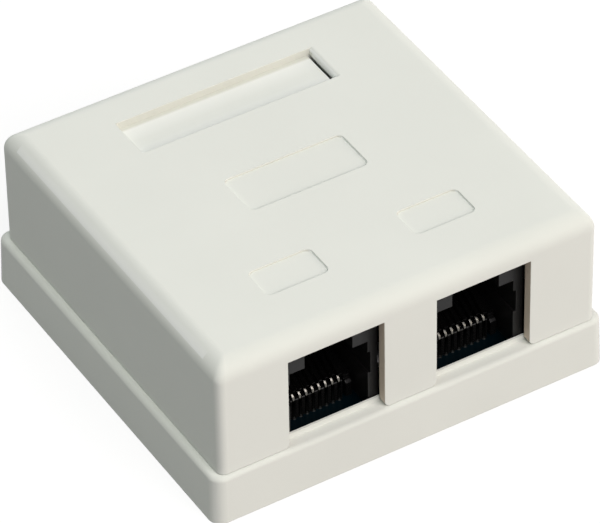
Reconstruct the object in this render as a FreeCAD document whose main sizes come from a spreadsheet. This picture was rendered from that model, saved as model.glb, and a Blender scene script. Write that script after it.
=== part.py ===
import FreeCAD, Part
import math
import os
import re
import Sketcher

# Two-port modular jack box for surface mounting on a wall or a desk.
# Frame: millimetres, +Z up, origin at the middle of the base's underside.
# The jacks look along -Y and +X is to the right as seen by someone who plugs in.

SIZES = {
    # base tray
    "base_width": 62.24,
    "base_depth": 60.39,
    "base_corner": 1.88,
    "base_draft": 1.7,
    "rim_height": 7.81,
    "rim_edge": 0.7,
    "floor_thickness": 1.8,
    "front_inside": 27.51,
    "lap_gap": 0.16,
    "lap_wall": 1.1,
    "lap_height": 2.0,
    "lap_corner": 0.8,
    "sill_height": 0.86,
    "sill_return": 1.5,
    "snap_bead_radius": 0.5,
    "snap_bead_proud": 0.3,
    "snap_bead_length": 9.0,
    "snap_bead_rise": 1.15,
    "snap_bead_offset": 13.0,
    "snap_groove_gap": 0.12,
    "snap_groove_extra": 0.6,
    # wall fixing and cable entry
    "fixing_spacing": 40.0,
    "fixing_line": 18.5,
    "fixing_hole": 4.2,
    "fixing_sink": 8.4,
    "fixing_sink_deep": 0.6,
    "entry_width": 16.0,
    "entry_front": 14.0,
    "entry_back": 23.0,
    # grooves that core out the thick walls from below
    "core_skin": 1.3,
    "core_width": 1.4,
    "core_depth": 6.2,
    "core_half_length": 24.0,
    # cover
    "overall_height": 26.57,
    "ledge_side": 1.39,
    "ledge_front": 0.78,
    "ledge_back": 1.3,
    "seam_gap": 0.13,
    "cover_wall": 1.39,
    "cover_ceiling": 1.7,
    "cover_corner": 1.2,
    "cover_inner_corner": 0.6,
    "cover_top_edge": 2.72,
    "port_pitch": 23.11,
    "port_width": 14.92,
    "port_top": 23.03,
    "port_foot_radius": 0.9,
    # shallow recesses in the top of the cover
    "label_half_width": 15.61,
    "label_front": 14.28,
    "label_back": 21.8,
    "label_deep": 1.25,
    "label_slit": 0.4,
    "label_pocket": 0.9,
    "label_corner": 0.6,
    "label_shoulder": 0.6,
    "label_patch_margin": 1.4,
    "badge_half_width": 9.4,
    "badge_front": 4.13,
    "badge_back": 3.46,
    "icon_half_width": 4.88,
    "icon_front": 20.17,
    "icon_back": 14.61,
    "recess_deep": 0.35,
    "recess_corner": 1.0,
    # circuit board
    "board_top": 7.13,
    "board_thickness": 1.6,
    "board_width": 53.0,
    "board_front": 27.33,
    "board_back": 9.4,
    "board_corner": 1.0,
    "contact_hole": 0.5,
    "terminal_hole": 0.66,
    "post_radius": 2.75,
    "pilot_gap": 0.03,
    "pilot_extra": 0.6,
    "peg_gap": 0.05,
    "screw_gap": 0.2,
    "screw_front_line": 19.0,
    "screw_back_line": 6.6,
    "support_offset": 23.2,
    "support_front_line": 24.0,
    "support_half_width": 2.2,
    # jack housing
    "jack_face": 27.37,
    "jack_width": 15.24,
    "jack_depth": 16.0,
    "jack_height": 15.2,
    "plug_width": 12.14,
    "plug_roof": 18.77,
    "plug_depth": 14.2,
    "keyway_width": 7.44,
    "keyway_roof": 21.42,
    "keyway_depth": 11.0,
    "latch_wall": 1.6,
    "latch_width": 10.6,
    "relief_width": 13.04,
    "relief_foot": 13.17,
    "relief_head": 16.87,
    "relief_depth": 9.0,
    "peg_radius": 0.7,
    "peg_length": 2.5,
    "peg_offset": 6.85,
    "peg_line": 19.83,
    # contact comb and spring wires
    "contact_pitch": 1.016,
    "contact_width": 0.32,
    "contact_thickness": 0.30,
    "contact_tail": 4.6,
    "leg_line": 24.0,
    "bend_height": 10.17,
    "bend_radius": 1.0,
    "arm_angle": 28.0,
    "arm_length": 8.66,
    "comb_face": 24.08,
    "comb_half_width": 5.95,
    "comb_slot": 0.52,
    "comb_slot_depth": 1.5,
    "comb_nose": 10.39,
    "comb_nose_depth": 1.6,
    "comb_nose_round": 0.08,
    "comb_back_rise": 1.0,
    "arm_slot_rise": 2.4,
    "arm_slot_wall": 0.8,
    "rear_comb_front": 17.05,
    "rear_comb_back": 14.45,
    "rear_comb_top": 16.64,
    "end_post_inner": 4.62,
    "end_post_outer": 5.55,
    "end_post_top": 9.78,
    "end_post_gap": 0.55,
    "end_post_depth": 1.2,
    "end_post_step": 0.7,
    "end_post_edge": 0.34,
    # punch-down blocks
    "idc_pitch": 3.8,
    "idc_depth": 7.0,
    "idc_front_line": 5.9,
    "idc_rear_line": 2.6,
    "idc_height": 10.6,
    "idc_wire_slot": 1.1,
    "idc_end": 0.4,
    "idc_corner": 0.8,
    "idc_lead": 0.8,
    "idc_lead_deep": 1.8,
    "idc_seat_gap": 0.03,
    "idc_seat_head": 0.05,
    "idc_wire_floor": 12.2,
    "terminal_width": 3.0,
    "terminal_thickness": 0.5,
    "terminal_top": 15.6,
    "terminal_fork": 0.42,
    "terminal_fork_deep": 4.5,
    "terminal_lead": 0.5,
    "terminal_lead_deep": 0.9,
    "terminal_tail": 0.3,
    "terminal_foot": 0.3,
    # board screws
    "screw_head_radius": 2.4,
    "screw_head_height": 1.7,
    "screw_shank_radius": 1.2,
    "screw_length": 5.2,
    "screw_rim_share": 0.45,
    "screw_crown_share": 0.55,
    "cross_arm": 1.1,
    "cross_half": 0.25,
    "cross_deep": 1.0,
}

doc = FreeCAD.newDocument("jack_box")
sheet = doc.addObject("Spreadsheet::Sheet", "sizes")
for row, (name, value) in enumerate(SIZES.items(), 1):
    sheet.set("A%d" % row, name)
    sheet.set("B%d" % row, str(value))
    sheet.setAlias("B%d" % row, name)
doc.recompute()

SIZE_NAME = re.compile(r"\b(%s)\b" % "|".join(SIZES))


def bound(expression):
    """The expression with each size read from the sheet."""
    return SIZE_NAME.sub(r"<<sizes>>.\1", str(expression))


def value_of(expression):
    """The number that an expression gives now."""
    return float(sheet.evalExpression(bound(expression)))


# ---------------------------------------------------------------- sketches

def new_body(name):
    body = doc.addObject("PartDesign::Body", name)
    body.Label = name
    return body


def sketch_on(body, role, name, offset="0"):
    """Empty sketch parallel to one of the body's own origin planes."""
    sketch = body.newObject("Sketcher::SketchObject", name)
    plane = next(f for f in body.Origin.OriginFeatures if f.Role == role)
    sketch.AttachmentSupport = (plane, [""])
    sketch.MapMode = "FlatFace"
    sketch.setExpression("AttachmentOffset.Base.z", bound(offset))
    return sketch


def pin_coordinate(sketch, kind, geometry, point, expression):
    """Hold one coordinate of a sketch point at an expression."""
    number = value_of(expression)
    if abs(number) < 1e-9:
        axis = -2 if kind == "DistanceX" else -1
        sketch.addConstraint(Sketcher.Constraint("PointOnObject", geometry, point, axis))
        return
    index = sketch.addConstraint(Sketcher.Constraint(kind, -1, 1, geometry, point, number))
    sketch.setExpression("Constraints[%d]" % index, bound(expression))


def outline(sketch, corners):
    """Closed outline of straight sides through corners given as expressions."""
    points = [FreeCAD.Vector(value_of(x), value_of(y), 0) for x, y in corners]
    first = sketch.GeometryCount
    count = len(points)
    for i in range(count):
        side = Part.LineSegment(points[i], points[(i + 1) % count])
        sketch.addGeometry(side, False)
    for i in range(count):
        following = first + (i + 1) % count
        sketch.addConstraint(Sketcher.Constraint("Coincident", first + i, 2, following, 1))
    for i, (x, y) in enumerate(corners):
        pin_coordinate(sketch, "DistanceX", first + i, 1, x)
        pin_coordinate(sketch, "DistanceY", first + i, 1, y)


def rectangle(sketch, x0, x1, y0, y1):
    outline(sketch, [(x0, y0), (x1, y0), (x1, y1), (x0, y1)])


def square(sketch, x, y, half):
    rectangle(sketch, "%s - %s" % (x, half), "%s + %s" % (x, half),
              "%s - %s" % (y, half), "%s + %s" % (y, half))


def circle(sketch, x, y, radius):
    centre = FreeCAD.Vector(value_of(x), value_of(y), 0)
    ring = Part.Circle(centre, FreeCAD.Vector(0, 0, 1), value_of(radius))
    index = sketch.addGeometry(ring, False)
    pin_coordinate(sketch, "DistanceX", index, 3, x)
    pin_coordinate(sketch, "DistanceY", index, 3, y)
    size = sketch.addConstraint(Sketcher.Constraint("Radius", index, value_of(radius)))
    sketch.setExpression("Constraints[%d]" % size, bound(radius))


# ---------------------------------------------------------------- features

def pad(body, sketch, length, reverse=False, both_ways=False, taper=None):
    feature = body.newObject("PartDesign::Pad", "pad_" + sketch.Name)
    feature.Profile = sketch
    feature.setExpression("Length", bound(length))
    feature.Reversed = reverse
    feature.Midplane = both_ways
    if taper:
        feature.setExpression("TaperAngle", bound(taper))
    doc.recompute()
    return feature


def pocket(body, sketch, length=None, reverse=False, both_ways=False):
    """Cut that must take material away; with no length it goes through all."""
    before = body.Shape.Volume
    feature = body.newObject("PartDesign::Pocket", "pocket_" + sketch.Name)
    feature.Profile = sketch
    feature.Reversed = reverse
    feature.Midplane = both_ways
    if length is None:
        feature.Type = "ThroughAll"
    else:
        feature.setExpression("Length", bound(length))
    doc.recompute()
    if body.Shape.Volume > before - 1e-6:
        raise RuntimeError(feature.Name + " cuts nothing")
    return feature


def repeat(body, feature, sketch, axis, count, span):
    """Linear pattern of one feature along a sketch axis over a span."""
    pattern = body.newObject("PartDesign::LinearPattern", "row_" + feature.Name)
    pattern.Originals = [feature]
    pattern.Direction = (sketch, [axis])
    pattern.setExpression("Length", bound(span))
    pattern.Occurrences = count
    body.Tip = pattern
    doc.recompute()
    return pattern


def edges_where(shape, test):
    return ["Edge%d" % i for i, edge in enumerate(shape.Edges, 1) if test(edge)]


def is_upright(edge):
    start, end = edge.Vertexes[0].Point, edge.Vertexes[-1].Point
    return abs(start.z - end.z) > 1 and math.hypot(start.x - end.x, start.y - end.y) < 0.5


def lies_at(edge, height):
    return all(abs(vertex.Z - height) < 1e-4 for vertex in edge.Vertexes)


def dress_edges(body, kind, size_name, size, test):
    base = body.Tip
    feature = body.newObject("PartDesign::" + kind, kind.lower() + "_" + base.Name)
    feature.Base = (base, edges_where(base.Shape, test))
    feature.setExpression(size_name, bound(size))
    doc.recompute()
    if "Invalid" in feature.State:
        raise RuntimeError(feature.Name + " failed")
    return feature


def fillet(body, radius, test):
    return dress_edges(body, "Fillet", "Radius", radius, test)


def chamfer(body, size, test):
    return dress_edges(body, "Chamfer", "Size", size, test)


SIDES = (("left", "-"), ("right", ""))
PORT_CENTRE = {"left": "(-port_pitch / 2)", "right": "(port_pitch / 2)"}


def move_to_port(body, side):
    body.setExpression("Placement.Base.x", bound(PORT_CENTRE[side]))


# ---------------------------------------------------------------- base

LAP_SIDE = "(base_width / 2 - ledge_side - cover_wall - lap_gap)"
LAP_BACK = "(base_depth / 2 - ledge_back - cover_wall - lap_gap)"
LAP_FRONT = "(base_depth / 2 - ledge_front - cover_wall - lap_gap)"
POST_HEIGHT = "(board_top - board_thickness - floor_thickness)"
BEAD_LINE = "(%s + snap_bead_proud - snap_bead_radius)" % LAP_SIDE
BEAD_ROWS = (("front", "snap_bead_offset"), ("rear", "-snap_bead_offset"))
CORE_OUTER = "(base_width / 2 - core_skin)"
CORE_INNER = "(base_width / 2 - core_skin - core_width)"
SINK = "0.2"            # how far a raised form starts inside the wall that carries it
CLEAR = "1.0"           # how far a cut runs on past the face that it opens


def make_base():
    """Tray with a raised lap that the cover fits over, posts and wall holes."""
    body = new_body("base")
    plan = sketch_on(body, "XY_Plane", "base_plan")
    rectangle(plan, "-base_width / 2", "base_width / 2", "-base_depth / 2", "base_depth / 2")
    pad(body, plan, "rim_height", taper="-base_draft")
    fillet(body, "base_corner", is_upright)
    rim = value_of("rim_height")
    fillet(body, "rim_edge", lambda edge: lies_at(edge, rim))

    lap = sketch_on(body, "XY_Plane", "lap_plan", "rim_height - %s" % SINK)
    rectangle(lap, "-" + LAP_SIDE, LAP_SIDE, "-" + LAP_FRONT, LAP_BACK)
    pad(body, lap, "lap_height + %s" % SINK)
    half_side, half_back = value_of(LAP_SIDE), value_of(LAP_BACK)
    fillet(body, "lap_corner", lambda edge: is_upright(edge) and
           abs(abs(edge.Vertexes[0].X) - half_side) < 0.01 and
           edge.Vertexes[0].Z > 1 and abs(edge.Vertexes[0].Y) > half_back - 0.01)

    inside = sketch_on(body, "XY_Plane", "inside_plan", "floor_thickness")
    rectangle(inside, "-(%s - lap_wall)" % LAP_SIDE, "%s - lap_wall" % LAP_SIDE,
              "-front_inside", "%s - lap_wall" % LAP_BACK)
    pocket(body, inside, reverse=True)

    # Along the front the lap is only a low sill, so that a plug clears it.
    sill = sketch_on(body, "XY_Plane", "sill_plan", "rim_height + sill_height")
    rectangle(sill, "-base_width / 2", "base_width / 2", "-base_depth / 2",
              "-front_inside + sill_return")
    pocket(body, sill, reverse=True)

    # Two rounded snap beads stand out of the lap on each side.
    for row, place in BEAD_ROWS:
        beads = sketch_on(body, "XZ_Plane", "bead_section_" + row, place)
        for sign in ("-", ""):
            circle(beads, sign + BEAD_LINE, "rim_height + snap_bead_rise", "snap_bead_radius")
        pad(body, beads, "snap_bead_length", both_ways=True)

    posts = sketch_on(body, "XY_Plane", "post_plan", "floor_thickness - %s" % SINK)
    circle(posts, "0", "-screw_front_line", "post_radius")
    circle(posts, "0", "screw_back_line", "post_radius")
    for sign in ("-", ""):
        for line in ("-support_front_line", "screw_back_line"):
            square(posts, sign + "support_offset", line, "support_half_width")
    pad(body, posts, "%s + %s" % (POST_HEIGHT, SINK))
    pilots = sketch_on(body, "XY_Plane", "pilot_plan", "board_top - board_thickness")
    circle(pilots, "0", "-screw_front_line", "screw_shank_radius + pilot_gap")
    circle(pilots, "0", "screw_back_line", "screw_shank_radius + pilot_gap")
    pocket(body, pilots, POST_HEIGHT + " + pilot_extra")

    holes = sketch_on(body, "XY_Plane", "fixing_plan")
    for sign in ("-", ""):
        circle(holes, sign + "fixing_spacing / 2", "fixing_line", "fixing_hole / 2")
    pocket(body, holes, "floor_thickness + %s" % CLEAR, reverse=True)
    sinks = sketch_on(body, "XY_Plane", "fixing_sink_plan", "floor_thickness")
    for sign in ("-", ""):
        circle(sinks, sign + "fixing_spacing / 2", "fixing_line", "fixing_sink / 2")
    pocket(body, sinks, "fixing_sink_deep")

    entry = sketch_on(body, "XY_Plane", "entry_plan")
    rectangle(entry, "-entry_width / 2", "entry_width / 2", "entry_front", "entry_back")
    pocket(body, entry, "floor_thickness + %s" % CLEAR, reverse=True)

    # Grooves from below keep the side and back walls as thin as the rest.
    cores = sketch_on(body, "XY_Plane", "core_plan")
    for inner, outer in (("-%s" % CORE_OUTER, "-%s" % CORE_INNER), (CORE_INNER, CORE_OUTER)):
        rectangle(cores, inner, outer, "-core_half_length", "core_half_length")
    rectangle(cores, "-core_half_length", "core_half_length",
              "base_depth / 2 - core_skin - core_width", "base_depth / 2 - core_skin")
    pocket(body, cores, "core_depth", reverse=True)
    return body


# ---------------------------------------------------------------- cover

COVER_FOOT = "(rim_height + seam_gap)"


def rounded_block(name, inset, height, corner, top_edge=None):
    """Block inset from the cover's outside, with rounded top edges and corners."""
    block = new_body(name + "_block")
    plan = sketch_on(block, "XY_Plane", name + "_plan", COVER_FOOT)
    side = "(base_width / 2 - ledge_side - %s)" % inset
    rectangle(plan, "-" + side, side, "-(base_depth / 2 - ledge_front - %s)" % inset,
              "base_depth / 2 - ledge_back - %s" % inset)
    pad(block, plan, "%s - %s" % (height, COVER_FOOT))
    if top_edge:
        head = value_of(height)
        fillet(block, top_edge, lambda edge: lies_at(edge, head))
    fillet(block, corner, is_upright)
    return block


def cut_label_shoulder(body):
    """Round the top of the label recess's right wall over a quarter circle."""
    section = sketch_on(body, "XZ_Plane", "shoulder_section", "-label_front")
    wall, turn = value_of("label_half_width"), value_of("label_shoulder")
    top, clear = value_of("overall_height"), 0.5
    spots = [(wall - clear, top - turn), (wall, top - turn), (wall + turn, top),
             (wall + turn, top + clear), (wall - clear, top + clear)]
    foot, start, end, high, far = (FreeCAD.Vector(x, y, 0) for x, y in spots)
    ring = Part.Circle(FreeCAD.Vector(wall + turn, top - turn, 0), FreeCAD.Vector(0, 0, 1), turn)
    section.addGeometry(Part.LineSegment(foot, start), False)
    section.addGeometry(Part.ArcOfCircle(ring, math.pi / 2, math.pi), False)
    section.addGeometry(Part.LineSegment(end, high), False)
    section.addGeometry(Part.LineSegment(high, far), False)
    section.addGeometry(Part.LineSegment(far, foot), False)
    for first, first_end, second, second_end in ((0, 2, 1, 2), (1, 1, 2, 1), (2, 2, 3, 1),
                                                 (3, 2, 4, 1), (4, 2, 0, 1)):
        section.addConstraint(Sketcher.Constraint("Coincident", first, first_end,
                                                  second, second_end))
    for geometry, kind in ((0, "Horizontal"), (2, "Vertical"), (3, "Horizontal"),
                           (4, "Vertical")):
        section.addConstraint(Sketcher.Constraint(kind, geometry))
    pin_coordinate(section, "DistanceX", 1, 3, "label_half_width + label_shoulder")
    pin_coordinate(section, "DistanceY", 1, 3, "overall_height - label_shoulder")
    pin_coordinate(section, "DistanceX", 0, 2, "label_half_width")
    pin_coordinate(section, "DistanceX", 0, 1, "label_half_width - %s" % clear)
    pin_coordinate(section, "DistanceY", 3, 1, "overall_height + %s" % clear)
    pin_coordinate(section, "DistanceY", 0, 1, "overall_height - label_shoulder")
    pin_coordinate(section, "DistanceX", 2, 2, "label_half_width + label_shoulder")
    pocket(body, section, "label_back - label_front")


def make_cover():
    """Shell with rounded edges, two notches and shallow top recesses."""
    shell = doc.addObject("Part::Cut", "cover_shell")
    shell.Base = rounded_block("outside", "0", "overall_height", "cover_corner",
                               "cover_top_edge")
    shell.Tool = rounded_block("inside", "cover_wall", "(overall_height - cover_ceiling)",
                               "cover_inner_corner")
    doc.recompute()
    body = new_body("cover")
    body.BaseFeature = shell
    doc.recompute()
    foot, head = value_of(COVER_FOOT), value_of("overall_height")

    # A thick patch under the ceiling carries the floor of the label recess.
    patch = sketch_on(body, "XY_Plane", "patch_plan", "overall_height - cover_ceiling - label_deep")
    rectangle(patch, "-label_half_width - label_patch_margin",
              "label_half_width + label_patch_margin",
              "label_front - label_patch_margin", "label_back + label_patch_margin")
    pad(body, patch, "label_deep + %s" % SINK)

    ports = sketch_on(body, "XZ_Plane", "port_outline", "base_depth / 2")
    for side, sign in SIDES:
        centre = PORT_CENTRE[side]
        rectangle(ports, centre + " - port_width / 2", centre + " + port_width / 2",
                  "rim_height - %s" % CLEAR, "port_top")
    pocket(body, ports, "ledge_front + cover_wall + %s" % CLEAR)
    fillet(body, "port_foot_radius", lambda edge: lies_at(edge, foot) and
           edge.BoundBox.YMax < -value_of("front_inside") and
           edge.BoundBox.YLength > 1 and edge.BoundBox.XLength < 0.01)

    top = "overall_height"
    label = sketch_on(body, "XY_Plane", "label_plan", top)
    rectangle(label, "-label_half_width", "label_half_width", "label_front", "label_back")
    pocket(body, label, "label_deep")
    half_label, label_deep = value_of("label_half_width"), value_of("label_deep")
    fillet(body, "label_corner", lambda edge: edge.BoundBox.XMax < -half_label + 0.01 and
           edge.BoundBox.XLength < 0.01 and edge.BoundBox.YLength < 0.01 and
           abs(edge.BoundBox.ZLength - label_deep) < 0.01 and edge.BoundBox.ZMax > head - 0.01)
    cut_label_shoulder(body)

    # The label strip slides into a slit at the right end, under the shoulder.
    slit = sketch_on(body, "XY_Plane", "slit_plan", top)
    rectangle(slit, "label_half_width - label_slit", "label_half_width",
              "label_front", "label_back")
    pocket(body, slit, "label_deep + cover_ceiling + %s" % CLEAR)
    under = sketch_on(body, "XY_Plane", "label_pocket_plan", top + " - label_deep")
    rectangle(under, "label_half_width - label_slit", "label_half_width + label_pocket",
              "label_front", "label_back")
    pocket(body, under, "cover_ceiling + %s" % CLEAR)

    shallow = sketch_on(body, "XY_Plane", "shallow_plan", top)
    rectangle(shallow, "-badge_half_width", "badge_half_width", "-badge_front", "badge_back")
    for side, sign in SIDES:
        centre = PORT_CENTRE[side]
        rectangle(shallow, centre + " - icon_half_width", centre + " + icon_half_width",
                  "-icon_front", "-icon_back")
    pocket(body, shallow, "recess_deep")
    deep = value_of("recess_deep")
    fillet(body, "recess_corner", lambda edge: edge.BoundBox.ZLength > deep - 0.01 and
           edge.BoundBox.ZLength < deep + 0.01 and edge.BoundBox.XLength < 0.01 and
           edge.BoundBox.YLength < 0.01 and edge.BoundBox.ZMax > head - 0.01)

    # Grooves inside the side walls take the base's snap beads.
    for row, place in BEAD_ROWS:
        groove = sketch_on(body, "XZ_Plane", "groove_section_" + row, place)
        for sign in ("-", ""):
            circle(groove, sign + BEAD_LINE, "rim_height + snap_bead_rise",
                   "snap_bead_radius + snap_groove_gap")
        pocket(body, groove, "snap_bead_length + snap_groove_extra", both_ways=True)
    return body


# ---------------------------------------------------------------- circuit board

CONTACT_SPOTS = ["contact_pitch * %s" % (n - 4.5) for n in range(1, 9)]
IDC_SPOTS = ["idc_pitch * %s" % (n - 2.5) for n in range(1, 5)]
IDC_LINES = (("front", "-idc_front_line"), ("rear", "idc_rear_line"))


def make_circuit_board():
    """Board drilled for the contacts, the terminals, the pegs and the screws."""
    body = new_body("circuit_board")
    plan = sketch_on(body, "XY_Plane", "board_plan", "board_top - board_thickness")
    rectangle(plan, "-board_width / 2", "board_width / 2", "-board_front", "board_back")
    pad(body, plan, "board_thickness")
    fillet(body, "board_corner", is_upright_short)
    rows = [("contact", "-leg_line", "contact_pitch", 8, "contact_hole / 2")]
    rows += [("idc_" + row, line, "idc_pitch", 4, "terminal_hole / 2") for row, line in IDC_LINES]
    for side, _ in SIDES:
        for name, line, pitch, count, half in rows:
            hole = sketch_on(body, "XY_Plane", "holes_%s_%s" % (name, side), "board_top")
            first = "%s - %s * %s" % (PORT_CENTRE[side], pitch, (count - 1) / 2)
            square(hole, first, line, half)
            cut = pocket(body, hole)
            repeat(body, cut, hole, "H_Axis", count, "%s * %d" % (pitch, count - 1))
    round_holes = sketch_on(body, "XY_Plane", "round_holes", "board_top")
    for side, _ in SIDES:
        for peg in ("-", "+"):
            circle(round_holes, "%s %s peg_offset" % (PORT_CENTRE[side], peg), "-peg_line",
                   "peg_radius + peg_gap")
    for line in ("-screw_front_line", "screw_back_line"):
        circle(round_holes, "0", line, "screw_shank_radius + screw_gap")
    pocket(body, round_holes)
    return body


def is_upright_short(edge):
    box = edge.BoundBox
    return box.ZLength > 1 and box.XLength < 0.01 and box.YLength < 0.01


# ---------------------------------------------------------------- jacks

def make_jack_housing(side):
    """Moulded jack body: plug cavity, latch keyway and pegs into the board."""
    body = new_body("jack_housing_" + side)
    tag = "_" + side
    face = sketch_on(body, "XZ_Plane", "jack_front" + tag, "jack_face")
    rectangle(face, "-jack_width / 2", "jack_width / 2", "board_top", "board_top + jack_height")
    pad(body, face, "jack_depth", reverse=True)

    plug = sketch_on(body, "XZ_Plane", "plug_outline" + tag, "jack_face")
    rectangle(plug, "-plug_width / 2", "plug_width / 2", "board_top - %s" % CLEAR,
              "plug_roof")
    pocket(body, plug, "plug_depth")
    keyway = sketch_on(body, "XZ_Plane", "keyway_outline" + tag, "jack_face")
    rectangle(keyway, "-keyway_width / 2", "keyway_width / 2", "plug_roof - %s" % SINK,
              "keyway_roof")
    pocket(body, keyway, "keyway_depth")
    latch = sketch_on(body, "XZ_Plane", "latch_outline" + tag, "jack_face - latch_wall")
    rectangle(latch, "-latch_width / 2", "latch_width / 2", "plug_roof - %s" % SINK,
              "keyway_roof")
    pocket(body, latch, "keyway_depth - latch_wall")
    relief = sketch_on(body, "XZ_Plane", "relief_outline" + tag, "jack_face")
    rectangle(relief, "-relief_width / 2", "relief_width / 2", "relief_foot", "relief_head")
    pocket(body, relief, "relief_depth")

    pegs = sketch_on(body, "XY_Plane", "peg_plan" + tag, "board_top")
    for sign in ("-", ""):
        circle(pegs, sign + "peg_offset", "-peg_line", "peg_radius")
    pad(body, pegs, "peg_length", reverse=True)
    move_to_port(body, side)
    return body


def make_contact_comb(side):
    """Insert with front slots for the legs and a rear comb for the free ends."""
    body = new_body("contact_comb_" + side)
    tag = "_" + side
    section = sketch_on(body, "YZ_Plane", "comb_section" + tag)
    outline(section, [
        ("-comb_face", "board_top"),
        ("-rear_comb_back", "board_top"),
        ("-rear_comb_back", "rear_comb_top"),
        ("-rear_comb_front", "rear_comb_top"),
        ("-rear_comb_front", "comb_nose + comb_back_rise"),
        ("-(comb_face - comb_nose_depth)", "comb_nose"),
        ("-(comb_face - comb_nose_round)", "comb_nose"),
        ("-comb_face", "comb_nose - comb_nose_round"),
    ])
    pad(body, section, "2 * comb_half_width", both_ways=True)

    slot_sides = ["-contact_pitch * 3.5 %s comb_slot / 2" % sign for sign in ("-", "+")]
    low, high = "board_top - %s" % CLEAR, "comb_nose + %s" % CLEAR
    slot = sketch_on(body, "XZ_Plane", "leg_slot" + tag, "comb_face")
    rectangle(slot, *slot_sides, low, high)
    cut = pocket(body, slot, "comb_slot_depth")
    repeat(body, cut, slot, "H_Axis", 8, "contact_pitch * 7")
    rear = sketch_on(body, "XZ_Plane", "arm_slot" + tag, "rear_comb_front")
    rectangle(rear, *slot_sides, "comb_nose + arm_slot_rise", "rear_comb_top + %s" % CLEAR)
    cut = pocket(body, rear, "rear_comb_front - rear_comb_back - arm_slot_wall")
    repeat(body, cut, rear, "H_Axis", 8, "contact_pitch * 7")

    # Low posts at both ends of the front row, each set off by a slot.
    ends = sketch_on(body, "XZ_Plane", "end_post_cut" + tag, "comb_face")
    for sign in ("-", ""):
        rectangle(ends, sign + "(end_post_inner - end_post_gap)", sign + "end_post_inner",
                  low, high)
        rectangle(ends, sign + "end_post_outer", sign + "(comb_half_width + %s)" % CLEAR,
                  low, high)
    pocket(body, ends, "end_post_depth")
    tops = sketch_on(body, "XZ_Plane", "end_post_top" + tag, "comb_face")
    for sign in ("-", ""):
        rectangle(tops, sign + "(end_post_inner - %s)" % SINK,
                  sign + "(comb_half_width + %s)" % CLEAR, "end_post_top", high)
    pocket(body, tops, "end_post_step")
    top, front = value_of("end_post_top"), -value_of("comb_face")
    chamfer(body, "end_post_edge", lambda edge: lies_at(edge, top) and
            abs(edge.BoundBox.YMin - front) < 0.01 and edge.BoundBox.YLength < 0.01)
    move_to_port(body, side)
    return body


def make_contact(side, number):
    """Spring wire: a leg up from the board, a tight bend and a rising arm."""
    name = "contact_%s_%d" % (side, number)
    body = new_body(name)
    sketch = sketch_on(body, "YZ_Plane", name + "_side")
    half = value_of("contact_thickness / 2")
    radius = value_of("bend_radius")
    angle = math.radians(value_of("arm_angle"))
    centre = FreeCAD.Vector(-value_of("leg_line") + radius, value_of("bend_height"), 0)
    along = FreeCAD.Vector(math.cos(angle), math.sin(angle), 0) * value_of("arm_length")
    across = FreeCAD.Vector(-math.sin(angle), math.cos(angle), 0)
    tail = FreeCAD.Vector(0, value_of("contact_tail"), 0)
    outer_foot = FreeCAD.Vector(centre.x - radius - half, tail.y, 0)
    inner_foot = FreeCAD.Vector(centre.x - radius + half, tail.y, 0)
    outer_turn = FreeCAD.Vector(outer_foot.x, centre.y, 0)
    inner_turn = FreeCAD.Vector(inner_foot.x, centre.y, 0)
    outer_start = centre + across * (radius + half)
    inner_start = centre + across * (radius - half)
    turn_end = math.pi / 2 + angle
    normal = FreeCAD.Vector(0, 0, 1)
    sketch.addGeometry(Part.LineSegment(outer_foot, outer_turn), False)
    outer_ring = Part.Circle(centre, normal, radius + half)
    sketch.addGeometry(Part.ArcOfCircle(outer_ring, turn_end, math.pi), False)
    sketch.addGeometry(Part.LineSegment(outer_start, outer_start + along), False)
    sketch.addGeometry(Part.LineSegment(outer_start + along, inner_start + along), False)
    sketch.addGeometry(Part.LineSegment(inner_start + along, inner_start), False)
    inner_ring = Part.Circle(centre, normal, radius - half)
    sketch.addGeometry(Part.ArcOfCircle(inner_ring, turn_end, math.pi), False)
    sketch.addGeometry(Part.LineSegment(inner_turn, inner_foot), False)
    sketch.addGeometry(Part.LineSegment(inner_foot, outer_foot), False)
    leg_out, bend_out, arm_out, tip, arm_in, bend_in, leg_in, foot = range(8)
    for first, first_end, second, second_end, kind in (
            (leg_out, 2, bend_out, 2, "Tangent"), (bend_out, 1, arm_out, 1, "Tangent"),
            (arm_out, 2, tip, 1, "Coincident"), (tip, 2, arm_in, 1, "Coincident"),
            (arm_in, 2, bend_in, 1, "Tangent"), (bend_in, 2, leg_in, 1, "Tangent"),
            (leg_in, 2, foot, 1, "Coincident"), (foot, 2, leg_out, 1, "Coincident")):
        sketch.addConstraint(Sketcher.Constraint(kind, first, first_end, second, second_end))
    sketch.addConstraint(Sketcher.Constraint("Coincident", bend_out, 3, bend_in, 3))
    sketch.addConstraint(Sketcher.Constraint("Vertical", leg_out))
    sketch.addConstraint(Sketcher.Constraint("Horizontal", foot))
    sketch.addConstraint(Sketcher.Constraint("Perpendicular", arm_out, tip))
    pin_coordinate(sketch, "DistanceX", bend_out, 3, "-leg_line + bend_radius")
    pin_coordinate(sketch, "DistanceY", bend_out, 3, "bend_height")
    pin_coordinate(sketch, "DistanceY", leg_out, 1, "contact_tail")
    for ring, expression in ((bend_out, "bend_radius + contact_thickness / 2"),
                             (bend_in, "bend_radius - contact_thickness / 2")):
        size = sketch.addConstraint(Sketcher.Constraint("Radius", ring, value_of(expression)))
        sketch.setExpression("Constraints[%d]" % size, bound(expression))
    size = sketch.addConstraint(Sketcher.Constraint("Distance", arm_out, value_of("arm_length")))
    sketch.setExpression("Constraints[%d]" % size, bound("arm_length"))
    size = sketch.addConstraint(Sketcher.Constraint("Angle", arm_out, angle))
    sketch.setExpression("Constraints[%d]" % size, bound("arm_angle * 1 deg"))
    pad(body, sketch, "contact_width", both_ways=True)
    body.setExpression("Placement.Base.x", bound(
        "%s + %s" % (PORT_CENTRE[side], CONTACT_SPOTS[number - 1])))
    return body


# ---------------------------------------------------------------- punch-down blocks

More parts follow.
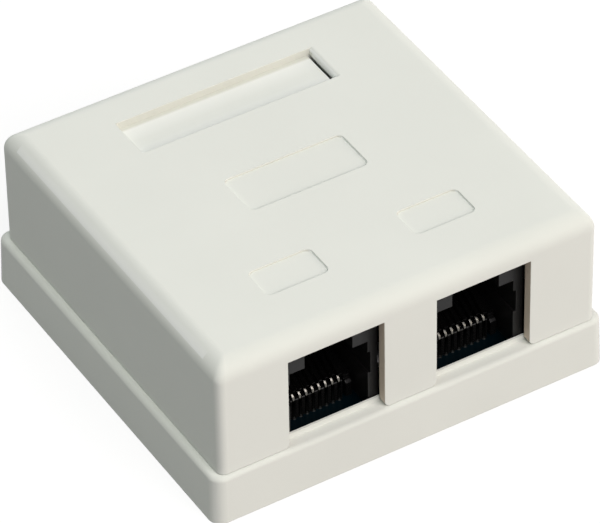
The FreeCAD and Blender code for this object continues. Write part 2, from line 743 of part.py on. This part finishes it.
def make_idc_block(side, row, line):
    """Four-wire block: pointed teeth with a wire slot between each pair."""
    name = "idc_block_%s_%s" % (side, row)
    body = new_body(name)
    teeth = sketch_on(body, "XZ_Plane", name + "_teeth")
    peak = "board_top + idc_height"
    end = "(idc_pitch * 2 + idc_end)"
    crown = "(idc_pitch * 2 + idc_end - idc_corner)"
    corners = [("-" + end, "board_top"), (end, "board_top")]
    corners.append((end, peak + " - idc_corner"))
    corners.append((crown, peak))
    for spot in reversed(IDC_SPOTS):
        right = spot + " + idc_wire_slot / 2"
        left = spot + " - idc_wire_slot / 2"
        corners.append((right + " + idc_lead", peak))
        corners.append((right, peak + " - idc_lead_deep"))
        corners.append((right, "idc_wire_floor"))
        corners.append((left, "idc_wire_floor"))
        corners.append((left, peak + " - idc_lead_deep"))
        corners.append((left + " - idc_lead", peak))
    corners.append(("-" + crown, peak))
    corners.append(("-" + end, peak + " - idc_corner"))
    outline(teeth, corners)
    pad(body, teeth, "idc_depth", both_ways=True)
    seats = sketch_on(body, "XY_Plane", name + "_seats", "board_top")
    reach = "(terminal_width / 2 + idc_seat_gap)"
    depth = "(terminal_thickness / 2 + idc_seat_gap)"
    for spot in IDC_SPOTS:
        rectangle(seats, "%s - %s" % (spot, reach), "%s + %s" % (spot, reach), "-" + depth, depth)
    pocket(body, seats, "terminal_top + idc_seat_head - board_top", reverse=True)
    move_to_port(body, side)
    body.setExpression("Placement.Base.y", bound(line))
    return body


def make_idc_terminal(side, number):
    """Slotted blade that bites through a wire's insulation, with a tail pin."""
    name = "idc_terminal_%s_%d" % (side, number)
    row, line = IDC_LINES[(number - 1) // 4]
    spot = IDC_SPOTS[(number - 1) % 4]
    body = new_body(name)
    blade = sketch_on(body, "XZ_Plane", name + "_blade")
    half = "terminal_width / 2"
    gap = "terminal_fork / 2"
    shoulder = "board_top + terminal_foot"
    right = [
        ("terminal_tail", "contact_tail"),
        ("terminal_tail", shoulder),
        (half, shoulder),
        (half, "terminal_top"),
        (gap + " + terminal_lead", "terminal_top"),
        (gap, "terminal_top - terminal_lead_deep"),
        (gap, "terminal_top - terminal_fork_deep"),
    ]
    outline(blade, right + [("-(%s)" % x, y) for x, y in reversed(right)])
    pad(body, blade, "terminal_thickness", both_ways=True)
    body.setExpression("Placement.Base.x", bound("%s + %s" % (PORT_CENTRE[side], spot)))
    body.setExpression("Placement.Base.y", bound(line))
    return body


# ---------------------------------------------------------------- board screws

def make_board_screw(name, line):
    """Pan-head screw with a cross recess, turned about its own axis."""
    body = new_body(name)
    section = sketch_on(body, "XZ_Plane", name + "_section")
    outline(section, [
        ("0", "board_top - screw_length"),
        ("screw_shank_radius", "board_top - screw_length"),
        ("screw_shank_radius", "board_top"),
        ("screw_head_radius", "board_top"),
        ("screw_head_radius", "board_top + screw_head_height * screw_rim_share"),
        ("screw_head_radius * screw_crown_share", "board_top + screw_head_height"),
        ("0", "board_top + screw_head_height"),
    ])
    turned = body.newObject("PartDesign::Revolution", name + "_turned")
    turned.Profile = section
    turned.ReferenceAxis = (section, ["V_Axis"])
    turned.Angle = 360
    doc.recompute()
    recess = sketch_on(body, "XY_Plane", name + "_recess", "board_top + screw_head_height")
    far, near = "cross_arm", "cross_half"
    quarter = [(far, "-" + near), (far, near), (near, near), (near, far), ("-" + near, far),
               ("-" + near, near)]
    outline(recess, quarter + [("-(%s)" % x, "-(%s)" % y) for x, y in quarter])
    pocket(body, recess, "cross_deep")
    body.setExpression("Placement.Base.y", bound(line))
    return body


def make_board_screws():
    front = make_board_screw("board_screw_front", "-screw_front_line")
    rear = make_board_screw("board_screw_rear", "screw_back_line")
    pair = doc.addObject("Part::Compound", "board_screws")
    pair.Label = "board_screws"
    pair.Links = [front, rear]
    doc.recompute()
    return pair


# ---------------------------------------------------------------- assembly

pieces = [make_base(), make_cover(), make_circuit_board(), make_board_screws()]
for side, _ in SIDES:
    pieces.append(make_jack_housing(side))
    pieces.append(make_contact_comb(side))
    pieces.extend(make_contact(side, number) for number in range(1, 9))
    pieces.extend(make_idc_block(side, row, line) for row, line in IDC_LINES)
    pieces.extend(make_idc_terminal(side, number) for number in range(1, 9))
doc.recompute()

for item in doc.Objects:
    if {"Invalid", "Error"} & set(item.State):
        raise RuntimeError("%s failed: %s" % (item.Label, item.State))
for piece in pieces:
    if piece.Shape.isNull() or not piece.Shape.isValid():
        raise RuntimeError("%s has no valid shape" % piece.Label)

os.makedirs("parts", exist_ok=True)
for piece in pieces:
    piece.Shape.exportStep("parts/%s.step" % piece.Label)
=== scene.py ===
"""Looks of the two-port surface mount jack box: materials, solder, floor, light and camera."""
import math

import bmesh
import bpy
from mathutils import Matrix, Vector


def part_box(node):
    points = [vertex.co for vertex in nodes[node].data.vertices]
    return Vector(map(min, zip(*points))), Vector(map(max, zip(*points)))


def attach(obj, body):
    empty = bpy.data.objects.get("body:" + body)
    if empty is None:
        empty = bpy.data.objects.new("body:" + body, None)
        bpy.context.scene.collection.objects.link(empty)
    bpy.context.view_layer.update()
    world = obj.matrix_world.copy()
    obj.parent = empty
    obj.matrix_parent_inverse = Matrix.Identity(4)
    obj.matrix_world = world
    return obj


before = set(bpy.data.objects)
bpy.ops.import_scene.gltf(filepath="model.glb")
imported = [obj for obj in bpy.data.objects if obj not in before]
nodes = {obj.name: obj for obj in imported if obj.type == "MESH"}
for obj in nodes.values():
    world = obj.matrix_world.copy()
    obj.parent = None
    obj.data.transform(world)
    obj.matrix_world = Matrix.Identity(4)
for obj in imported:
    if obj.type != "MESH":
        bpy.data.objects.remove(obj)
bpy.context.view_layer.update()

MM = 0.001
SIDES = ("left", "right")
WIRES = range(1, 9)                                # the numbers of one jack's wires

# ------------------------------------------------------------------ camera

# The view: where the camera stands round the box, how far, and how it is framed.
AZIMUTH, ELEVATION, ROLL = -30.614, 40.859, -1.126    # degrees
DISTANCE = 705.92 * MM
AIM_RIGHT, AIM_UP = 0.507 * MM, -2.042 * MM
AIM_HEIGHT = 13.0 * MM
SENSOR, LENS = 36.0, 308.56                        # millimetres
NEAREST_SEEN = 50 * MM


def make_camera():
    azimuth, elevation, roll = (math.radians(a) for a in (AZIMUTH, ELEVATION, ROLL))
    back = Vector((math.sin(azimuth) * math.cos(elevation),
                   -math.cos(azimuth) * math.cos(elevation), math.sin(elevation)))
    level = Vector((math.cos(azimuth), math.sin(azimuth), 0))
    upright = back.cross(level)
    right = level * math.cos(roll) + upright * math.sin(roll)
    up = upright * math.cos(roll) - level * math.sin(roll)
    place = back * DISTANCE + right * AIM_RIGHT + up * AIM_UP + Vector((0, 0, AIM_HEIGHT))
    data = bpy.data.cameras.new("camera")
    data.sensor_width = SENSOR
    data.lens = LENS
    data.clip_start = NEAREST_SEEN
    camera = bpy.data.objects.new("camera", data)
    bpy.context.collection.objects.link(camera)
    turn = Matrix((right, up, back)).transposed()
    camera.matrix_world = Matrix.Translation(place) @ turn.to_4x4()
    bpy.context.scene.camera = camera


# ------------------------------------------------------------------ node helper

# The part of a noise's range that nearly all of it lies in: of any noise, and of the slow
# cloud in the white plastic.
NOISE_SPAN, CLOUD_SPAN = (0.3, 0.7), (0.35, 0.65)
BEVEL_SAMPLES = 6
# Places of a Mix node's two colours and of the colour that it gives, among its sockets.
MIX_FIRST, MIX_SECOND, MIX_RESULT = 6, 7, 2


def grey(level):
    return (level, level, level, 1)


class Nodes:
    """A material's node tree with short calls to add and join nodes."""

    def __init__(self, name):
        self.material = bpy.data.materials.new(name)
        self.material.use_nodes = True
        self.tree = self.material.node_tree
        self.shader = self.tree.nodes["Principled BSDF"]
        self.output = self.tree.nodes["Material Output"]

    def add(self, kind, **settings):
        """New node; a setting is the value of a socket or else of a property."""
        node = self.tree.nodes.new(kind)
        for key, value in settings.items():
            if key in node.inputs:
                node.inputs[key].default_value = value
            else:
                setattr(node, key, value)
        return node

    def join(self, source, target):
        self.tree.links.new(source, target)

    def feed(self, source, name):
        """Join a socket to the shader's own socket of that name."""
        self.join(source, self.shader.inputs[name])

    def set(self, **settings):
        """Values on the shader's own sockets; an underscore stands for a space."""
        for key, value in settings.items():
            self.shader.inputs[key.replace("_", " ")].default_value = value

    def place(self):
        """Place in the box's frame, in metres."""
        return self.add("ShaderNodeTexCoord").outputs["Object"]

    def noise(self, scale, detail=2.0):
        """Noise with that many cells to the metre."""
        texture = self.add("ShaderNodeTexNoise", Scale=scale, Detail=detail)
        self.join(self.place(), texture.inputs["Vector"])
        return texture.outputs["Fac"]

    def ramp(self, source, low, high, span=NOISE_SPAN):
        """Colour that goes from low to high as source goes along the span."""
        ramp = self.add("ShaderNodeValToRGB")
        for element, position, colour in zip(ramp.color_ramp.elements, span, (low, high)):
            element.position = position
            element.color = (*colour, 1)
        self.join(source, ramp.inputs["Fac"])
        return ramp.outputs["Color"]

    def spread(self, source, low, high, span=NOISE_SPAN):
        """Number that goes from low to high as source goes along the span."""
        change = self.add("ShaderNodeMapRange")
        change.inputs["From Min"].default_value = span[0]
        change.inputs["From Max"].default_value = span[1]
        change.inputs["To Min"].default_value = low
        change.inputs["To Max"].default_value = high
        self.join(source, change.inputs["Value"])
        return change.outputs["Result"]

    def maths(self, operation, *sources):
        result = self.add("ShaderNodeMath", operation=operation)
        for source, target in zip(sources, result.inputs):
            self.join(source, target)
        return result.outputs[0]

    def axis_of(self, vector, axis):
        split = self.add("ShaderNodeSeparateXYZ")
        self.join(vector, split.inputs[0])
        return split.outputs[axis]

    def along(self, axis):
        """Place along one axis of the box, in metres."""
        return self.axis_of(self.place(), axis)

    def facing(self, axis):
        """1 where the surface faces along the axis, -1 where it faces the other way."""
        return self.axis_of(self.add("ShaderNodeNewGeometry").outputs["Normal"], axis)

    def within(self, axis, middle, reach):
        """1 where the place along the axis is within reach of middle, 0 elsewhere."""
        test = self.add("ShaderNodeMath", operation="COMPARE")
        self.join(self.along(axis), test.inputs[0])
        test.inputs[1].default_value = middle
        test.inputs[2].default_value = reach
        return test.outputs[0]

    def blend(self, kind, factor, first, second):
        """Two colours blended; the factor is a number or a socket."""
        mix = self.add("ShaderNodeMix", data_type="RGBA", blend_type=kind)
        if isinstance(factor, float):
            mix.inputs["Factor"].default_value = factor
        else:
            self.join(factor, mix.inputs["Factor"])
        self.join(first, mix.inputs[MIX_FIRST])
        self.join(second, mix.inputs[MIX_SECOND])
        return mix.outputs[MIX_RESULT]

    def relief(self, height, depth, strength, rounding=None):
        """Bump on the shader, over edges rounded by that radius where one is given."""
        bump = self.add("ShaderNodeBump", Strength=strength, Distance=depth)
        self.join(height, bump.inputs["Height"])
        if rounding:
            bevel = self.add("ShaderNodeBevel", Radius=rounding, samples=BEVEL_SAMPLES)
            self.join(bevel.outputs["Normal"], bump.inputs["Normal"])
        self.feed(bump.outputs["Normal"], "Normal")


# ------------------------------------------------------------------ white plastic

# The cover's label bed, as part.py has it: half its width, and where it lies along Y.
LABEL_HALF_WIDTH, LABEL_FRONT, LABEL_BACK = 15.61 * MM, 14.28 * MM, 21.80 * MM
# How far its painted light reaches from the back wall, standing in for light bounced off that
# wall, and the width of the painted shade strip at that wall's foot.
PAINTED_LIGHT_REACH, FOOT = 3.5 * MM, 0.90 * MM
# Where its front strip of painted light, which lightens the front wall's shadow, fades out
# along Y, and how strong that painted light is before that.
FRONT_STRIP = (LABEL_FRONT + 1.5 * MM, LABEL_FRONT + 2.9 * MM)
FRONT_PAINTED_LIGHT = 0.6
# The space that holds the walls of all the recesses: half its length along Y, and the
# middle and half the depth of it along Z.
WALLS_REACH, WALLS_HEIGHT, WALLS_DEEP = 25.0 * MM, 25.87 * MM, 0.56 * MM
# The space that holds the cheeks of the jack notches: half its width along X, and how far
# its middle is in front of the box's middle and half its depth along Y.
CHEEKS_REACH, CHEEKS_FRONT, CHEEKS_DEEP = 27.5 * MM, 29.0 * MM, 3.0 * MM
# How much of its normal lies along an axis where a face stops counting as one that looks
# down that axis, and where it starts counting as one that looks along it either way.
LOOKS_DOWN, LOOKS_ALONG = (-0.8, -0.5), (0.6, 0.9)

PLAIN_WHITE = (0.805, 0.825, 0.785), (0.82, 0.84, 0.80)
# Painted light: a lighter white on the label bed and on recess walls that face left.
PAINTED_LIGHT_WHITE = (0.925, 0.94, 0.92), (0.94, 0.955, 0.935)
# Painted shade: a darker, warmer white on recess walls that face forward and at the foot of the
# label bed's back wall.
PAINTED_SHADE_WHITE = (0.72, 0.725, 0.66), (0.735, 0.74, 0.675)
# Painted warm shade, as under warm bounced light, on the cheeks of the jack notches.
PAINTED_WARM_SHADE_WHITE = (0.76, 0.66, 0.54), (0.78, 0.68, 0.56)


def paint_recess_light_and_shade(n, cloud, colour):
    """Painted light on the label bed and on recess walls that face left; painted shade on
    recess walls that face forward and at the bed's back foot; painted warm shade on the notch
    cheeks.
    """
    painted_light, painted_shade, warm = (n.ramp(cloud, *shades, CLOUD_SPAN)
                            for shades in (PAINTED_LIGHT_WHITE, PAINTED_SHADE_WHITE, PAINTED_WARM_SHADE_WHITE))

    middle, reach = (LABEL_FRONT + LABEL_BACK) / 2, (LABEL_BACK - LABEL_FRONT) / 2
    bed = n.maths("MULTIPLY", n.within("X", 0.0, LABEL_HALF_WIDTH),
                  n.within("Y", middle, reach))
    # Painted light on the bed: strongest at the back wall, as if bounced off it, and a weaker
    # strip where the front wall's shadow falls.
    back_strip = n.spread(n.along("Y"), 0.0, 1.0, (LABEL_BACK - PAINTED_LIGHT_REACH, LABEL_BACK))
    front_strip = n.spread(n.along("Y"), FRONT_PAINTED_LIGHT, 0.0, FRONT_STRIP)
    strips = n.maths("MAXIMUM", back_strip, front_strip)
    colour = n.blend("MIX", n.maths("MULTIPLY", bed, strips), colour, painted_light)

    walls = n.maths("MULTIPLY", n.within("Y", 0.0, WALLS_REACH),
                    n.within("Z", WALLS_HEIGHT, WALLS_DEEP))
    # Painted light on recess walls that face left, as if lit by light bounced inside the
    # recess.
    leftward = n.spread(n.facing("X"), 1.0, 0.0, LOOKS_DOWN)
    colour = n.blend("MIX", n.maths("MULTIPLY", walls, leftward), colour, painted_light)
    # Painted shade on recess walls that face forward.
    forward = n.spread(n.facing("Y"), 1.0, 0.0, LOOKS_DOWN)
    colour = n.blend("MIX", n.maths("MULTIPLY", walls, forward), colour, painted_shade)
    # Painted shade in a strip on the bed at the foot of its back wall.
    foot = n.spread(n.along("Y"), 0.0, 1.0, (LABEL_BACK - FOOT, LABEL_BACK - FOOT / 2))
    colour = n.blend("MIX", n.maths("MULTIPLY", bed, foot), colour, painted_shade)

    # Painted warm shade on the side faces of the jack notches' cheeks.
    cheeks = n.maths("MULTIPLY", n.within("X", 0.0, CHEEKS_REACH),
                     n.within("Y", -CHEEKS_FRONT, CHEEKS_DEEP))
    across = n.spread(n.maths("ABSOLUTE", n.facing("X")), 0.0, 1.0, LOOKS_ALONG)
    return n.blend("MIX", n.maths("MULTIPLY", cheeks, across), colour, warm)


def white_plastic(name, with_painted_recesses=False):
    """Satin white case plastic: fine spark-eroded grain and a faint moulding cloud; with
    painted recesses, painted light and shade there too.
    """
    n = Nodes(name)
    cloud = n.noise(60, detail=3)
    colour = n.ramp(cloud, *PLAIN_WHITE, CLOUD_SPAN)
    if with_painted_recesses:
        colour = paint_recess_light_and_shade(n, cloud, colour)
    n.feed(colour, "Base Color")
    grain = n.noise(5200)
    n.feed(n.spread(grain, 0.46, 0.56), "Roughness")
    n.relief(grain, depth=0.012 * MM, strength=0.5, rounding=0.13 * MM)
    n.set(Specular_IOR_Level=0.3, Diffuse_Roughness=0.6)
    return n.material


# ------------------------------------------------------------------ other materials

FLOW_CONTRAST = 1.35                               # of the flow marks in black plastic
# How far the roughness of black plastic, of metal and of the wires rises above its lowest.
BLACK_VARIES, METAL_VARIES, WIRE_VARIES = 0.12, 0.08, 0.06
# Heights on a spring wire between which its plating comes in and the painted shade on its legs
# ends, and the colour of its leg, bare metal darkened further by painted shade.
PLATING_AND_PAINTED_SHADE_EDGE = (10.0 * MM, 10.8 * MM)
BARE_AND_SHADED_LEG, FULL_SHINE = (0.62, 0.61, 0.60), (1.0, 1.0, 1.0)


def black_plastic(name, shade, roughness):
    """Glass-filled black plastic with flow marks."""
    n = Nodes(name)
    marks = n.ramp(n.noise(900, detail=4), shade, [c * FLOW_CONTRAST for c in shade])
    n.feed(marks, "Base Color")
    grain = n.noise(7000)
    n.feed(n.spread(grain, roughness, roughness + BLACK_VARIES), "Roughness")
    n.relief(grain, depth=0.008 * MM, strength=0.5, rounding=0.12 * MM)
    n.set(Specular_IOR_Level=0.3)
    return n.material


def solder_mask():
    """Dark blue-green solder mask over a faint glass weave; the cut edges are bare glass."""
    n = Nodes("solder_mask")
    mask = n.ramp(n.noise(400, detail=3), (0.0003, 0.0045, 0.0070), (0.0006, 0.0065, 0.0095))
    edge = n.ramp(n.noise(1500), (0.22, 0.20, 0.10), (0.30, 0.27, 0.15))
    level = n.maths("ABSOLUTE", n.facing("Z"))
    n.feed(n.blend("MIX", level, edge, mask), "Base Color")
    weave = n.add("ShaderNodeTexWave", Scale=900.0, Distortion=0.6)
    n.join(n.place(), weave.inputs["Vector"])
    n.relief(weave.outputs["Fac"], depth=0.004 * MM, strength=0.3)
    n.feed(n.spread(n.noise(2500), 0.30, 0.42), "Roughness")
    n.set(Specular_IOR_Level=0.06)
    return n.material


def streak_metal(n, scale, roughness, varies, rounding):
    """Make the shader a metal with fine streaks in its roughness and its relief."""
    streak = n.noise(scale)
    n.feed(n.spread(streak, roughness, roughness + varies), "Roughness")
    n.relief(streak, depth=0.002 * MM, strength=0.3, rounding=rounding)
    n.set(Metallic=1.0)


def metal(name, low, high, roughness, rounding=0.06 * MM, scratch=3000):
    """Drawn or plated metal with fine streaks."""
    n = Nodes(name)
    n.feed(n.ramp(n.noise(scratch, detail=3), low, high), "Base Color")
    streak_metal(n, scratch * 2, roughness, METAL_VARIES, rounding)
    return n.material


def spring_wire():
    """Drawn bronze wire: legs darker, partly bare metal and partly painted shade; bright
    plating from the bend on, where a plug touches.
    """
    n = Nodes("spring_wire")
    drawn = n.ramp(n.noise(3000, detail=3), (0.135, 0.129, 0.116), (0.170, 0.163, 0.147))
    # Below the bend the wire is darker: bare metal and painted shade on the legs.
    plated = n.spread(n.along("Z"), 0.0, 1.0, PLATING_AND_PAINTED_SHADE_EDGE)
    plating_and_shade = n.ramp(plated, BARE_AND_SHADED_LEG, FULL_SHINE, (0.0, 1.0))
    n.feed(n.blend("MULTIPLY", 1.0, drawn, plating_and_shade), "Base Color")
    streak_metal(n, scale=6000, roughness=0.06, varies=WIRE_VARIES, rounding=0.13 * MM)
    return n.material


def natural_nylon():
    """Slightly warm natural nylon of the punch-down blocks."""
    n = Nodes("natural_nylon")
    shade = n.ramp(n.noise(300, detail=3), (0.70, 0.69, 0.63), (0.75, 0.74, 0.69))
    n.feed(shade, "Base Color")
    grain = n.noise(4200)
    n.feed(n.spread(grain, 0.38, 0.5), "Roughness")
    n.relief(grain, depth=0.01 * MM, strength=0.5, rounding=0.15 * MM)
    return n.material


def dress(material, *names):
    for name in names:
        for slot in nodes[name].material_slots:
            slot.material = material


def dress_nodes():
    dress(white_plastic("tray_white"), "base")
    dress(white_plastic("cover_white", with_painted_recesses=True), "cover")
    dress(solder_mask(), "circuit_board")
    housing = black_plastic("jack_black", (0.0045, 0.0043, 0.0044), roughness=0.34)
    comb = black_plastic("comb_black", (0.003, 0.003, 0.003), roughness=0.22)
    wire = spring_wire()
    tin = metal("terminal_tin", (0.62, 0.61, 0.58), (0.74, 0.73, 0.70), roughness=0.28)
    zinc = metal("screw_zinc", (0.60, 0.61, 0.62), (0.72, 0.73, 0.74), roughness=0.26)
    nylon = natural_nylon()
    dress(zinc, "board_screws")
    for side in SIDES:
        dress(housing, "jack_housing_" + side)
        dress(comb, "contact_comb_" + side)
        dress(nylon, "idc_block_%s_front" % side, "idc_block_%s_rear" % side)
        dress(wire, *("contact_%s_%d" % (side, number) for number in WIRES))
        dress(tin, *("idc_terminal_%s_%d" % (side, number) for number in WIRES))


# ------------------------------------------------------------------ solder

WIRE = 0.30 * MM                                   # thickness of a spring wire
# The profile of a solder joint, as radius and height in millimetres, from its rim on the
# board to where it meets the wire.
SOLDER_PROFILE = ((0.40, -0.03), (0.40, 0.01), (0.33, 0.04), (0.26, 0.10), (0.22, 0.20),
                  (0.20, 0.32))
SOLDER_SIDES = 18


def solder_ring(form, middle, radius, height):
    turn = 2 * math.pi / SOLDER_SIDES
    return [form.verts.new(middle + Vector((radius * math.cos(turn * step),
                                            radius * math.sin(turn * step), height)) * MM)
            for step in range(SOLDER_SIDES)]


def solder_joints(side, material):
    """The meniscus of solder round each wire's leg where it goes into the board."""
    board_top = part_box("circuit_board")[1][2]
    form = bmesh.new()
    for number in WIRES:
        low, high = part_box("contact_%s_%d" % (side, number))
        leg = low[1] + WIRE / 2
        middle = Vector(((low[0] + high[0]) / 2, leg, board_top))
        rings = [solder_ring(form, middle, *point) for point in SOLDER_PROFILE]
        form.faces.new(rings[0][::-1])
        form.faces.new(rings[-1])
        for lower, upper in zip(rings, rings[1:]):
            for step in range(SOLDER_SIDES):
                after = (step + 1) % SOLDER_SIDES
                form.faces.new((lower[step], lower[after], upper[after], upper[step]))
    mesh = bpy.data.meshes.new("solder_" + side)
    form.to_mesh(mesh)
    form.free()
    for face in mesh.polygons:
        face.use_smooth = len(face.vertices) == 4
    mesh.materials.append(material)
    joints = bpy.data.objects.new("solder_" + side, mesh)
    bpy.context.collection.objects.link(joints)
    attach(joints, "box")


def make_solder():
    # Near-black, far darker than tin: painted shade on the joints.
    solder = metal("solder", (0.012, 0.013, 0.013), (0.018, 0.019, 0.019), roughness=0.45,
                   rounding=0.02 * MM, scratch=4000)
    for side in SIDES:
        solder_joints(side, solder)


# ------------------------------------------------------------------ floor and light

FLOOR_REACH, FLOOR_SINK = 3.0, 0.05 * MM
# The floor's grey as it lights the box, and its grey and glow as the camera sees it.
FLOOR_PLAIN, FLOOR_SEEN, FLOOR_GLOW = 0.22, 0.30, 0.80
AMBIENT = 0.108                                    # the world's strength as it lights the box
LIGHT_DISTANCE = 1.2


def seen_rays(tree):
    """1 for rays that show the surroundings: camera, glossy and transmission rays."""
    path = tree.nodes.new("ShaderNodeLightPath")
    seen = path.outputs["Is Camera Ray"]
    for kind in ("Is Glossy Ray", "Is Transmission Ray"):
        either = tree.nodes.new("ShaderNodeMath")
        either.operation = "MAXIMUM"
        tree.links.new(seen, either.inputs[0])
        tree.links.new(path.outputs[kind], either.inputs[1])
        seen = either.outputs[0]
    return seen


def make_floor():
    """Wide pale floor that shows as white to the camera and keeps a soft shadow."""
    mesh = bpy.data.meshes.new("floor")
    corners = [(x * FLOOR_REACH, y * FLOOR_REACH, 0)
               for x, y in ((-1, -1), (1, -1), (1, 1), (-1, 1))]
    mesh.from_pydata(corners, [], [(0, 1, 2, 3)])
    floor = bpy.data.objects.new("floor", mesh)
    floor.location.z = -FLOOR_SINK
    bpy.context.collection.objects.link(floor)
    n = Nodes("floor")
    n.tree.nodes.remove(n.shader)
    plain = n.add("ShaderNodeBsdfDiffuse", Color=grey(FLOOR_PLAIN))
    seen = n.add("ShaderNodeBsdfDiffuse", Color=grey(FLOOR_SEEN))
    glow = n.add("ShaderNodeEmission", Color=grey(1.0), Strength=FLOOR_GLOW)
    lit = n.add("ShaderNodeAddShader")
    n.join(seen.outputs[0], lit.inputs[0])
    n.join(glow.outputs[0], lit.inputs[1])
    mix = n.add("ShaderNodeMixShader")
    n.join(seen_rays(n.tree), mix.inputs[0])
    n.join(plain.outputs[0], mix.inputs[1])
    n.join(lit.outputs[0], mix.inputs[2])
    n.join(mix.outputs[0], n.output.inputs["Surface"])
    mesh.materials.append(n.material)


def make_world():
    """Faint even light, seen as a white surrounding."""
    world = bpy.data.worlds.new("surroundings")
    world.use_nodes = True
    bpy.context.scene.world = world
    tree = world.node_tree
    background = tree.nodes["Background"]
    background.inputs["Color"].default_value = grey(1.0)
    strength = tree.nodes.new("ShaderNodeMapRange")
    strength.inputs["To Min"].default_value = AMBIENT
    strength.inputs["To Max"].default_value = 1.0
    tree.links.new(seen_rays(tree), strength.inputs["Value"])
    tree.links.new(strength.outputs["Result"], background.inputs["Strength"])


def area_light(name, direction, size, power, colour):
    """Soft square light that stands in a direction from the box and faces it."""
    data = bpy.data.lights.new(name, "AREA")
    data.shape = "SQUARE"
    data.size = size
    data.energy = power
    data.color = colour
    light = bpy.data.objects.new(name, data)
    towards = Vector(direction).normalized()
    light.location = towards * LIGHT_DISTANCE
    light.rotation_euler = towards.to_track_quat("Z", "Y").to_euler()
    bpy.context.collection.objects.link(light)


def make_lights():
    area_light("key", (0.05, -0.69, 0.71), size=0.85, power=9.10, colour=(1.0, 0.938, 0.935))
    area_light("overhead", (-0.34, 0.0, 0.94), size=0.8, power=3.48, colour=(0.905, 1.0, 0.915))
    area_light("side", (0.62, -0.74, 0.26), size=0.5, power=4.55, colour=(1.0, 0.925, 0.800))
    area_light("rear", (0.25, 0.80, 0.55), size=0.8, power=2.6, colour=(0.90, 0.94, 1.0))


# ------------------------------------------------------------------ assembly

make_camera()
dress_nodes()
make_solder()
make_floor()
make_world()
make_lights()

bpy.context.scene.view_settings.view_transform = "Standard"
